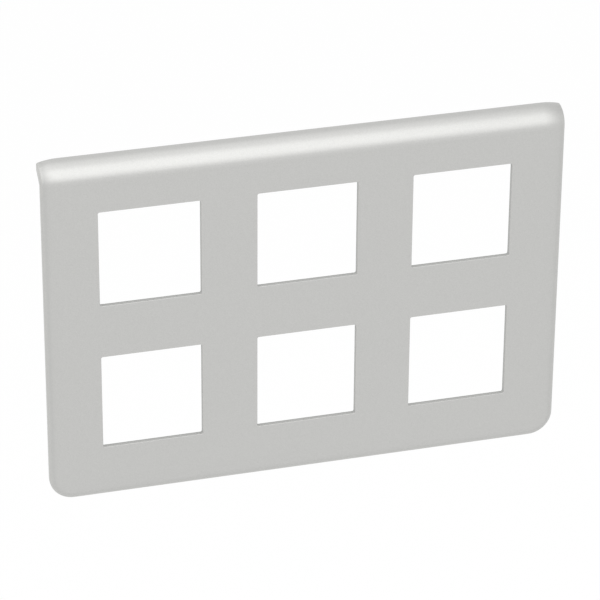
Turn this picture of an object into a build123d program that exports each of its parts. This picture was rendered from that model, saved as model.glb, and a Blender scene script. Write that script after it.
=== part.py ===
"""Clip-on cover plate for a block of wiring devices, moulded in one piece (millimetres).

+X runs to the right along the plate, +Y goes back into the wall and +Z is up. The origin is the
middle of the device openings, on the wall plane, so the flat front lies at Y = -depth.
"""

import os

from build123d import *

# Device openings: a grid of square windows at the standard centre distance
columns = 3
rows = 2
pitch = 71.0
opening_side = 45.7
opening_corner = 0.8
opening_edge = 0.2

# Outline, measured from the centres of the outer openings
side_reach = 47.3
foot_reach = 47.6
top_reach = 46.6
corner_radius = 11.0

# Section: the moulded wall, the top edge rolled back to the wall, and the shallow skirt.
# Towards the skirt the face falls away in a wide, gentle crown that ends in a tight round edge.
# Under each end of the roll the skirt slopes back to the wall over the cheek's rise.
wall = 2.2
roll_radius = 9.0
roll_land = 0.3
crown_width = 9.0
crown_drop = 1.3
edge_radius = 1.0
skirt_depth = 3.5
cheek_rise = 4.5

# Draft of the walls that stand on the back, in degrees
draft = 1.0

# Seat rim: the inner wall that stands on the wall plane, and the notch for levering the plate off
rim_inset = 5.0
rim_wall = 1.6
notch_width = 12.0
notch_depth = 1.6

# Stiffening ribs in the bars between the openings
rib_wall = 1.2
rib_height = 2.4

# Snap clips above and below each opening, with ratchet teeth for walls that are not quite flat
clip_offset = 7.0
clip_width = 8.0
clip_wall = 1.4
clip_tip_wall = 0.8
clip_setback = 0.4
tooth_count = 2
tooth_height = 0.8
tooth_pitch = 1.9
tooth_catch = 0.6

# Sizes that follow from the ones above
grid_half_width = (columns - 1) * pitch / 2
grid_half_height = (rows - 1) * pitch / 2
half_width = grid_half_width + side_reach
top_z = grid_half_height + top_reach
foot_z = -(grid_half_height + foot_reach)
depth = roll_radius + roll_land
front_y = -depth
face_back_y = front_y + wall
skirt_back_y = front_y + skirt_depth
roll_start_z = top_z - roll_radius
roll_end_y = front_y + roll_radius
opening_centres = [
    (column * pitch - grid_half_width, 0, row * pitch - grid_half_height)
    for column in range(columns)
    for row in range(rows)
]


def plate_form(side_inset, face_inset):
    """A full-depth block under the rolled front, drawn in at its sides and behind its face."""
    with BuildPart() as form:
        with BuildSketch(Plane.YZ):
            with BuildLine():
                roll_begins = (front_y + face_inset, roll_start_z)
                roll_ends = (roll_end_y, top_z - face_inset)
                foot_front = (front_y + face_inset, foot_z + side_inset)
                foot_back = (0, foot_z + side_inset)
                Polyline(foot_back, foot_front, roll_begins)
                TangentArc(roll_begins, roll_ends, tangent=(0, 1))
                Polyline(roll_ends, (0, top_z - face_inset), foot_back)
            make_face()
        extrude(amount=half_width - side_inset, both=True)
        lower_corners = form.edges().filter_by(Axis.Y).group_by(Axis.Z)[0]
        fillet(lower_corners, corner_radius - side_inset)
    return form.part


# The hollow behind the face, one wall thickness inside the outer form
hollow = plate_form(wall, wall)

# Soft edge: one section swept over the roll's end, down a side, along the foot and up again
flat_x = half_width - crown_width
flat_foot_z = foot_z + crown_width
with BuildPart() as soft_edge:
    with BuildLine() as edge_path:
        Line((-flat_x, 0, top_z), (-flat_x, roll_end_y, top_z))
        TangentArc((-flat_x, roll_end_y, top_z), (-flat_x, front_y, roll_start_z), tangent=(0, -1, 0))
        FilletPolyline(
            (-flat_x, front_y, roll_start_z),
            (-flat_x, front_y, flat_foot_z),
            (flat_x, front_y, flat_foot_z),
            (flat_x, front_y, roll_start_z),
            radius=corner_radius - crown_width,
        )
        TangentArc((flat_x, front_y, roll_start_z), (flat_x, roll_end_y, top_z), tangent=(0, 0, 1))
        Line((flat_x, roll_end_y, top_z), (flat_x, 0, top_z))
    with BuildSketch(Plane.XZ) as edge_section:
        with BuildLine():
            crown_begins = (-flat_x, top_z)
            crown_ends = (-half_width, top_z - crown_drop)
            skirt_edge_z = top_z - skirt_depth
            TangentArc(crown_begins, crown_ends, tangent=(-1, 0))
            Polyline(crown_ends, (-half_width, skirt_edge_z), (-flat_x, skirt_edge_z), crown_begins)
        make_face()
        outer_corners = edge_section.vertices().group_by(Axis.X)[0]
        fillet(outer_corners.sort_by(Axis.Y)[-1], edge_radius)
    sweep(path=edge_path.line)

# Cheeks: the skirt slopes back to the wall under the roll and closes its two ends
with BuildPart() as cheeks:
    with BuildSketch(Plane.YZ):
        with BuildLine():
            cheek_front = (skirt_back_y, roll_start_z)
            cheek_back = (0, roll_start_z + cheek_rise)
            roll_inside = (face_back_y, roll_start_z)
            roll_inside_end = (roll_end_y, top_z - wall)
            Polyline(roll_inside, cheek_front, cheek_back, (0, top_z - wall), roll_inside_end)
            TangentArc(roll_inside, roll_inside_end, tangent=(0, 1))
        make_face()
    extrude(amount=half_width, both=True)
    add(hollow, mode=Mode.SUBTRACT)

# Seat rim: a wall that follows the sides and the foot, and runs up into the rolled edge
rim_line = rim_inset + rim_wall / 2
rim_x = half_width - rim_line
rim_foot_z = foot_z + rim_line
with BuildPart() as rim:
    with BuildSketch(Plane.XZ):
        with BuildLine():
            FilletPolyline(
                (-rim_x, top_z),
                (-rim_x, rim_foot_z),
                (rim_x, rim_foot_z),
                (rim_x, top_z),
                radius=corner_radius - rim_line,
            )
        trace(line_width=rim_wall)
    extrude(amount=depth - wall, taper=-draft)
    with BuildSketch(Plane.XZ):
        with Locations((0, rim_foot_z)):
            Rectangle(notch_width, 2 * rim_wall)
    extrude(amount=notch_depth, mode=Mode.SUBTRACT)
    add(hollow, mode=Mode.INTERSECT)

# Ribs down the middle of each bar, from rim to rim and up into the rolled edge
with BuildPart() as ribs:
    with BuildSketch(Plane.XZ.offset(depth - wall)):
        with Locations((0, (top_z + rim_foot_z) / 2)):
            with GridLocations(pitch, 0, columns - 1, 1):
                Rectangle(rib_wall, top_z - rim_foot_z)
        with GridLocations(0, pitch, 1, rows - 1):
            Rectangle(2 * rim_x, rib_wall)
    extrude(amount=-rib_height, taper=draft)
    add(hollow, mode=Mode.INTERSECT)

# One pair of snap clips, above and below an opening that is centred on the origin
clip_inner_z = opening_side / 2 + clip_offset
clip_outer_z = clip_inner_z + clip_wall
clip_tip_y = -clip_setback
with BuildPart() as clip_pair:
    with BuildSketch(Plane.YZ):
        with BuildLine():
            outline = [
                (face_back_y, clip_outer_z),
                (face_back_y, clip_inner_z),
                (clip_tip_y, clip_inner_z),
                (clip_tip_y, clip_inner_z + clip_tip_wall),
            ]
            for tooth in range(tooth_count):
                foot_y = clip_tip_y - (tooth + 1) * tooth_pitch
                outline.append((foot_y + tooth_catch, clip_outer_z + tooth_height))
                outline.append((foot_y, clip_outer_z))
            Polyline(*outline, close=True)
        make_face()
    extrude(amount=clip_width / 2, both=True)
    mirror(about=Plane.XY)

with BuildPart() as cover_plate:
    # The outer form, hollowed from behind to an even wall
    add(plate_form(crown_width, 0))
    add(soft_edge.part)
    add(hollow, mode=Mode.SUBTRACT)
    add(cheeks.part)

    # Square openings with a broken front edge
    with BuildSketch(Plane.XZ.offset(depth)):
        with GridLocations(pitch, pitch, columns, rows):
            RectangleRounded(opening_side, opening_side, opening_corner)
    extrude(amount=-wall, mode=Mode.SUBTRACT)
    front_face = cover_plate.faces().sort_by(Axis.Y)[0]
    fillet(front_face.inner_wires().edges(), opening_edge)

    # What stands on the back of the face
    add(rim.part)
    add(ribs.part)
    with Locations(*opening_centres):
        add(clip_pair.part)

cover_plate.part.label = "cover_plate"

os.makedirs("parts", exist_ok=True)
export_step(cover_plate.part, "parts/cover_plate.step")
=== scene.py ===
# %% [markdown]
# # Finishing a moulded cover plate
#
# The real object is one injection moulding: a thin plate with square windows for wiring devices, its
# top edge rolled back to the wall. The moulding is sprayed from the front with a satin lacquer full of
# tiny aluminium flakes, and its back is left as bare plastic.
#
# The solid model already has the true shape, and its faces arrive with smooth normals, so nothing is
# remodelled here. The lesson is about the three things that make such a plain object look real: a
# camera that stands where the photographer stood, a soft light that draws the rolled edge, and a
# lacquer whose grain has a real size.

# %% Load the solid model as a fixed frame
import math

import bmesh
import bpy
from mathutils import Matrix, Vector


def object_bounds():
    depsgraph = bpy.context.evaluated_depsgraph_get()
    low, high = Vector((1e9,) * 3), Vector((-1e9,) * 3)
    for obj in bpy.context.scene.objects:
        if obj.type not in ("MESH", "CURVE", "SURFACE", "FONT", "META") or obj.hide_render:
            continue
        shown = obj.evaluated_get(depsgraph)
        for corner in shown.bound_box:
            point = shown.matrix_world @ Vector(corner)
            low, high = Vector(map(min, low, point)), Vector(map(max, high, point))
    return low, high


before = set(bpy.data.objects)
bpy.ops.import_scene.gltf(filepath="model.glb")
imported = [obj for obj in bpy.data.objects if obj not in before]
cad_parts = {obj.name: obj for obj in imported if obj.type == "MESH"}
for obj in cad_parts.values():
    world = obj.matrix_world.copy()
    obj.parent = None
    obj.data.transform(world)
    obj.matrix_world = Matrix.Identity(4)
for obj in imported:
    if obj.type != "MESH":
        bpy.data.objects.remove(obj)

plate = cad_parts["cover_plate"]
cad_low, cad_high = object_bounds()
scene = bpy.context.scene
scene.view_settings.view_transform = "Standard"
print("pieces in the frame:", list(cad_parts))

# %% [markdown]
# ## Millimetres and colours
#
# Blender works in metres and in linear light. Sizes are easier to think of in millimetres, and colours
# are easier to read off a picture as sRGB hex values, so three small functions turn one into the other.
# They are the only conversions in the file. The numbers in the first are those of the sRGB standard.

# %% Helpers for sizes and colours
MM = 0.001


def linear(hex_colour):
    """An sRGB hex colour such as "#C4C4C2" as linear red, green, blue and alpha."""
    channels = [int(hex_colour[i : i + 2], 16) / 255 for i in (1, 3, 5)]
    return [c / 12.92 if c <= 0.04045 else ((c + 0.055) / 1.055) ** 2.4 for c in channels] + [1.0]


def per_metre(size_mm):
    """The scale of a texture whose features are that many millimetres across."""
    return 1 / (size_mm * MM)


def in_mm(lengths):
    """Lengths in metres as millimetres, rounded for printing."""
    return [round(length / MM, 1) for length in lengths]


print("cover plate, mm:", in_mm(cad_high - cad_low))

# %% [markdown]
# ## The camera
#
# A catalogue picture is taken from far away with a long lens, so that the plate's edges stay nearly
# parallel. The camera could be placed by eye, but the corners of the windows lie on a known grid, so
# its angle and distance can be worked out from them. It stands to the left of the plate and above it,
# a metre and a half away. Turning about Z, then tipping about X, then rolling about its own axis keeps
# each angle readable. The last step backs away from the plate and slides a little, to frame it.

# %% Place the camera
camera_azimuth = math.radians(-15.89)
camera_elevation = math.radians(28.15)
camera_roll = math.radians(0.41)
camera_distance = 1530.6 * MM
camera_slide = (-3.24 * MM, 2.63 * MM)
sensor_width_mm = 36.0
lens_mm = 207.0

camera = bpy.data.objects.new("camera", bpy.data.cameras.new("camera"))
scene.collection.objects.link(camera)
scene.camera = camera
camera.data.sensor_width = sensor_width_mm
camera.data.lens = lens_mm
face_middle = Vector((0, cad_low.y, 0))
camera.matrix_world = (
    Matrix.Translation(face_middle)
    @ Matrix.Rotation(camera_azimuth, 4, "Z")
    @ Matrix.Rotation(math.pi / 2 - camera_elevation, 4, "X")
    @ Matrix.Rotation(camera_roll, 4, "Z")
    @ Matrix.Translation((*camera_slide, camera_distance))
)
print("camera at, mm:", in_mm(camera.matrix_world.translation))

# %% [markdown]
# ## One function for nodes
#
# A material is a small graph. Written out call by call it is hard to read, so one function adds a node,
# sets its properties and sockets, and links what feeds it. Sockets go by name or by number. Every finish
# below is built with it, and so is the cloth of the light tent.

# %% Helper for nodes


def add_node(tree, kind, settings=None, links=None):
    """Adds a node, with settings for its properties or sockets and a (node, output) for each link."""
    node = tree.nodes.new(kind)
    for name, value in (settings or {}).items():
        if isinstance(name, str) and hasattr(node, name):
            setattr(node, name, value)
        else:
            node.inputs[name].default_value = value
    for socket, (source, output) in (links or {}).items():
        tree.links.new(source.outputs[output], node.inputs[socket])
    return node


def empty_tree(owner):
    """The cleared node tree of a material or a world."""
    owner.use_nodes = True
    owner.node_tree.nodes.clear()
    return owner.node_tree


print("node helper ready")

# %% [markdown]
# ## The floor
#
# On a wall the plate hangs clear of everything, so the floor lies well below it. That keeps the
# windows bright, and the flat face then mirrors an evenly lit floor instead of its own shadow. The
# floor is white paper: matt, and white to the camera. Light Path tells the camera's rays, and those
# that a shiny or clear surface sends on, from the rest. They see mostly plain white, and the share that
# stays diffuse keeps the plate's soft shadow. Cycles would also try the glowing paper as a lamp, where
# Light Path answers otherwise, and a satin metal would then mirror it too dark. So the paper's emission
# sampling is set to none.

# %% Lay the floor
floor_drop = 450 * MM
floor_half_size = 12.0
paper_colour = "#F2F2F2"
paper_white_share = 0.85
plain_white = 1.0

bm = bmesh.new()
bmesh.ops.create_grid(bm, x_segments=1, y_segments=1, size=floor_half_size)
bmesh.ops.translate(bm, verts=bm.verts, vec=(0, 0, cad_low.z - floor_drop))
floor_mesh = bpy.data.meshes.new("floor")
bm.to_mesh(floor_mesh)
bm.free()
floor = bpy.data.objects.new("floor", floor_mesh)
scene.collection.objects.link(floor)

paper = bpy.data.materials.new("white_paper")
paper.cycles.emission_sampling = "NONE"
tree = empty_tree(paper)
matt = add_node(tree, "ShaderNodeBsdfDiffuse", {"Color": linear(paper_colour)})
white = add_node(tree, "ShaderNodeEmission", {"Strength": plain_white})
ray = add_node(tree, "ShaderNodeLightPath")
seen = (ray, "Is Camera Ray")
for kind_of_ray in ("Is Glossy Ray", "Is Transmission Ray"):
    either = add_node(tree, "ShaderNodeMath", {"operation": "MAXIMUM"}, {0: seen, 1: (ray, kind_of_ray)})
    seen = (either, 0)
share = add_node(tree, "ShaderNodeMath", {"operation": "MULTIPLY", 1: paper_white_share}, {0: seen})
mixed = add_node(tree, "ShaderNodeMixShader", links={0: (share, 0), 1: (matt, 0), 2: (white, 0)})
add_node(tree, "ShaderNodeOutputMaterial", links={"Surface": (mixed, 0)})
floor_mesh.materials.append(paper)
print("floor below the plate, mm:", round(floor_drop / MM))

# %% [markdown]
# ## The light
#
# Small lacquered goods are often photographed in a light tent: white cloth all round, with softboxes
# behind it. The cloth alone would leave the plate flat grey. One softbox stands in front, where the
# rolled edge mirrors it to the camera, and draws the long pale band along the roll. A taller, weaker one
# arches from there to overhead. The two overlap, so the band is brightest low on the roll and fades
# slowly towards the back. Neither is wide, so the band also fades at the ends, where the edge turns
# away. The flat face mirrors the floor and stays plain grey.
#
# A strength of one is white, for the cloth as for the paper, so the lacquer renders about as its colour
# is written. Real cloth is never even: here it glows more on the upper left than on the upper right,
# which tells the two ends of the roll apart. In a world, Generated coordinates are the direction of the
# ray, so X times Z is nothing at the horizon, where the cloth stays plain white, and reaches a half
# either way midway up the two sides. Both softboxes point at the plate's origin, which leaves a
# direction in degrees, a size in metres and a radiance to set for each.

# %% Build the light tent
softbox_distance = 1.2
softboxes = [
    {"name": "front_softbox", "azimuth": 7, "elevation": 36, "size": (1.10, 1.65), "radiance": 0.41},
    {"name": "overhead_softbox", "azimuth": 11, "elevation": 62, "size": (1.25, 2.45), "radiance": 0.34},
]
cloth_colour = "#FFFFFF"
upper_left_glow = 1.20
upper_right_glow = 0.88

tent = bpy.data.worlds.new("light_tent")
scene.world = tent
tree = empty_tree(tent)
towards = add_node(tree, "ShaderNodeTexCoord")
direction = add_node(tree, "ShaderNodeSeparateXYZ", links={0: (towards, "Generated")})
right_and_up = add_node(
    tree, "ShaderNodeMath", {"operation": "MULTIPLY"}, {0: (direction, "X"), 1: (direction, "Z")}
)
glow = add_node(
    tree,
    "ShaderNodeMapRange",
    {"From Min": -0.5, "From Max": 0.5, "To Min": upper_left_glow, "To Max": upper_right_glow},
    {"Value": (right_and_up, 0)},
)
cloth = add_node(tree, "ShaderNodeBackground", {"Color": linear(cloth_colour)}, {"Strength": (glow, 0)})
add_node(tree, "ShaderNodeOutputWorld", links={"Surface": (cloth, 0)})

for box in softboxes:
    lamp = bpy.data.objects.new(box["name"], bpy.data.lights.new(box["name"], "AREA"))
    scene.collection.objects.link(lamp)
    width, height = box["size"]
    lamp.data.shape = "RECTANGLE"
    lamp.data.size, lamp.data.size_y = width, height
    lamp.data.energy = box["radiance"] * math.pi * width * height
    lamp.visible_camera = False
    lamp.matrix_world = (
        Matrix.Rotation(math.radians(box["azimuth"]), 4, "Z")
        @ Matrix.Rotation(math.radians(90 - box["elevation"]), 4, "X")
        @ Matrix.Translation((0, 0, softbox_distance))
    )
    print(box["name"], "power, W:", round(lamp.data.energy, 2))

# %% [markdown]
# ## How deep, and how far in
#
# The lacquer is sprayed on from the front, and less of it lands the further back a surface lies. Two
# materials on two sets of faces would draw hard lines. A mask made from the place on the plate can fade
# instead, as overspray does, so the material first measures where it is. Depth counts from the face and
# the roll: it is the roll's radius less the distance from the roll's axis, which is carried straight
# down below the roll. Inset counts from the outline in the same way, with the axis of the rounded lower
# corner carried along the side and the foot. So each measure serves for its curve and for the flats
# that run out of it.

# %% Measure depth and inset
roll_radius_mm = 9.0
corner_radius_mm = 11.0
roll_axis = Vector((0, cad_low.y + roll_radius_mm * MM, cad_high.z - roll_radius_mm * MM))
corner_axis = Vector((cad_high.x - corner_radius_mm * MM, 0, cad_low.z + corner_radius_mm * MM))

lacquer = bpy.data.materials.new("satin_aluminium_lacquer_on_abs")
tree = empty_tree(lacquer)
place = add_node(tree, "ShaderNodeTexCoord")
axes = add_node(tree, "ShaderNodeSeparateXYZ", links={0: (place, "Object")})
from_middle = add_node(tree, "ShaderNodeMath", {"operation": "ABSOLUTE"}, {0: (axes, "X")})
roll_z = add_node(tree, "ShaderNodeMath", {"operation": "MAXIMUM", 1: roll_axis.z}, {0: (axes, "Z")})
side_x = add_node(
    tree, "ShaderNodeMath", {"operation": "MAXIMUM", 1: corner_axis.x}, {0: (from_middle, 0)}
)
foot_z = add_node(tree, "ShaderNodeMath", {"operation": "MINIMUM", 1: corner_axis.z}, {0: (axes, "Z")})
across_roll = add_node(tree, "ShaderNodeCombineXYZ", links={"Y": (axes, "Y"), "Z": (roll_z, 0)})
across_corner = add_node(tree, "ShaderNodeCombineXYZ", links={"X": (side_x, 0), "Z": (foot_z, 0)})

measures = []
for point, axis, radius_mm in (
    (across_roll, roll_axis, roll_radius_mm),
    (across_corner, corner_axis, corner_radius_mm),
):
    away = add_node(tree, "ShaderNodeVectorMath", {"operation": "DISTANCE", 1: axis}, {0: (point, 0)})
    measure = add_node(
        tree, "ShaderNodeMath", {"operation": "SUBTRACT", 0: radius_mm * MM}, {1: (away, "Value")}
    )
    measures.append(measure)
depth, inset = measures
print("axis of the roll, mm:", in_mm(roll_axis))

# %% [markdown]
# ## Where the lacquer is
#
# The hollow behind the face is bare: it begins one wall thickness deep and one wall thickness in. The
# spray fades over most of the wall, so it also thins a little where the face falls away to its outer
# edge. The windows are another case. Their walls stand along the spray and their sharp front edges shed
# it, so their coat is thinner from the edge on. The half-bare grey drawn there is also painted shade: it
# darkens the window recesses and dims the highlight on their front edges. Any depth further in than the
# soft edge belongs to the windows. Only the facets of the roll lie about 0.02 mm inside its true curve,
# so the fade begins just deeper.

# %% Mask the bare plastic
wall_mm = 2.2
overspray_mm = 1.85
soft_edge_mm = 9.0
# The window walls' bare share is partly a thinner real coat and partly painted shade in the recesses.
window_thin_coat_and_shade_begins_mm = 0.03
window_thin_coat_and_shade_ends_mm = 0.14
window_thin_coat_and_shade_share = 0.5
fully = 1.0

steps = []
for measure, begins_mm, ends_mm, most in (
    (depth, wall_mm - overspray_mm, wall_mm, fully),
    (inset, wall_mm - overspray_mm, wall_mm, fully),
    # Window walls: thinner real coat, and painted shade that darkens the recesses and their edge
    # highlight.
    (depth, window_thin_coat_and_shade_begins_mm, window_thin_coat_and_shade_ends_mm, window_thin_coat_and_shade_share),
    (inset, soft_edge_mm, corner_radius_mm, fully),
):
    step = add_node(
        tree,
        "ShaderNodeMapRange",
        {
            "interpolation_type": "SMOOTHSTEP",
            "From Min": begins_mm * MM,
            "From Max": ends_mm * MM,
            "To Max": most,
        },
        {"Value": (measure, 0)},
    )
    steps.append((step, 0))
behind_face, behind_edge, behind_window_edge_thin_coat_and_shade, past_soft_edge = steps
hollow = add_node(
    tree, "ShaderNodeMath", {"operation": "MULTIPLY"}, {0: behind_face, 1: behind_edge}
)
# Half-bare window walls: partly thin coat, partly painted shade in the recesses.
window_thin_coat_and_shade = add_node(
    tree, "ShaderNodeMath", {"operation": "MULTIPLY"}, {0: behind_window_edge_thin_coat_and_shade, 1: past_soft_edge}
)
bare = add_node(tree, "ShaderNodeMath", {"operation": "MAXIMUM"}, {0: (hollow, 0), 1: (window_thin_coat_and_shade, 0)})
coated = add_node(tree, "ShaderNodeMath", {"operation": "SUBTRACT", 0: fully}, {1: (bare, 0)})
print("lacquer fades out over, mm:", overspray_mm)

# %% [markdown]
# ## What the lacquer looks like
#
# Aluminium flakes in a satin lacquer give a soft metal: grey, with no mirror image and no brush lines.
# Each flake lies at its own small angle, so the grain is both a slight change of tone and a slight
# change of slope. Real flakes are a few hundredths of a millimetre across, too fine to show, so they
# are drawn a quarter of a millimetre wide. Sprayed lacquer also dries with a faint ripple, like orange
# peel, a couple of millimetres long. It shows only as a quiver in the pale band on the roll.
#
# A Mix node picks each flake's tone between two greys. It has a pair of inputs for every kind of data,
# all called A and B, so the pair for colours goes by its numbers.

# %% Grain and ripple of the lacquer
flake_mm = 0.25
flake_height_mm = 0.004
ripple_mm = 2.2
ripple_height_mm = 0.004
drift_mm = 40.0
lacquer_dark = "#BEBEBC"
lacquer_light = "#C6C6C4"
satin_smoothest = 0.34
satin_roughest = 0.38
colour_a, colour_b = 6, 7

on_plate = {"Vector": (place, "Object")}
flakes = add_node(tree, "ShaderNodeTexVoronoi", {"Scale": per_metre(flake_mm)}, on_plate)
tone = add_node(tree, "ShaderNodeSeparateColor", links={0: (flakes, "Color")})
ripple = add_node(tree, "ShaderNodeTexNoise", {"Scale": per_metre(ripple_mm), "Detail": 1.0}, on_plate)
drift = add_node(tree, "ShaderNodeTexNoise", {"Scale": per_metre(drift_mm), "Detail": 2.0}, on_plate)
lacquer_colour = add_node(
    tree,
    "ShaderNodeMix",
    {"data_type": "RGBA", colour_a: linear(lacquer_dark), colour_b: linear(lacquer_light)},
    {0: (tone, "Red")},
)
lacquer_roughness = add_node(
    tree,
    "ShaderNodeMapRange",
    {"To Min": satin_smoothest, "To Max": satin_roughest},
    {"Value": (drift, "Fac")},
)
print("flakes across the plate:", round((cad_high.x - cad_low.x) / (flake_mm * MM)))

# %% [markdown]
# ## What the bare plastic looks like
#
# The back shows the moulding itself: grey ABS, coloured right through, darker and duller than the
# lacquer and not metallic at all. The steel mould was left with a fine sparked texture there, which the
# plastic copies as a matt grain of about half a millimetre.

# %% Grain of the bare plastic
plastic_dark = "#8D8E8C"
plastic_light = "#969794"
plastic_roughness = 0.55
spark_mm = 0.5
spark_height_mm = 0.01

spark = add_node(tree, "ShaderNodeTexNoise", {"Scale": per_metre(spark_mm), "Detail": 2.0}, on_plate)
plastic_colour = add_node(
    tree,
    "ShaderNodeMix",
    {"data_type": "RGBA", colour_a: linear(plastic_dark), colour_b: linear(plastic_light)},
    {0: (spark, "Fac")},
)
print("sparked grain, mm:", spark_mm)

# %% [markdown]
# ## One shader for both
#
# The mask now chooses between the two finishes. Colour and roughness are mixed, and the mask itself is
# the metallic value: one on the lacquer and nothing on the plastic. The three grains become three bump
# nodes in a row, each with its own height, and the plastic's grain counts only where it is bare. The Mix
# node's pair for plain numbers goes by number too, and so does its outlet for a colour.

# %% Join the two finishes
number_a, number_b = 2, 3
mixed_colour = 2

colour = add_node(
    tree,
    "ShaderNodeMix",
    {"data_type": "RGBA"},
    {
        0: (coated, 0),
        colour_a: (plastic_colour, mixed_colour),
        colour_b: (lacquer_colour, mixed_colour),
    },
)
roughness = add_node(
    tree,
    "ShaderNodeMix",
    {number_a: plastic_roughness},
    {0: (coated, 0), number_b: (lacquer_roughness, 0)},
)
ripple_bump = add_node(
    tree, "ShaderNodeBump", {"Distance": ripple_height_mm * MM}, {"Height": (ripple, "Fac")}
)
flake_bump = add_node(
    tree,
    "ShaderNodeBump",
    {"Distance": flake_height_mm * MM},
    {"Height": (flakes, "Distance"), "Normal": (ripple_bump, 0)},
)
spark_bump = add_node(
    tree,
    "ShaderNodeBump",
    {"Distance": spark_height_mm * MM},
    {"Strength": (bare, 0), "Height": (spark, "Fac"), "Normal": (flake_bump, 0)},
)
surface = add_node(
    tree,
    "ShaderNodeBsdfPrincipled",
    links={
        "Base Color": (colour, mixed_colour),
        "Metallic": (coated, 0),
        "Roughness": (roughness, 0),
        "Normal": (spark_bump, 0),
    },
)
add_node(tree, "ShaderNodeOutputMaterial", links={"Surface": (surface, 0)})
plate.data.materials[0] = lacquer
print("finish on the plate:", plate.data.materials[0].name, "with", len(tree.nodes), "nodes")
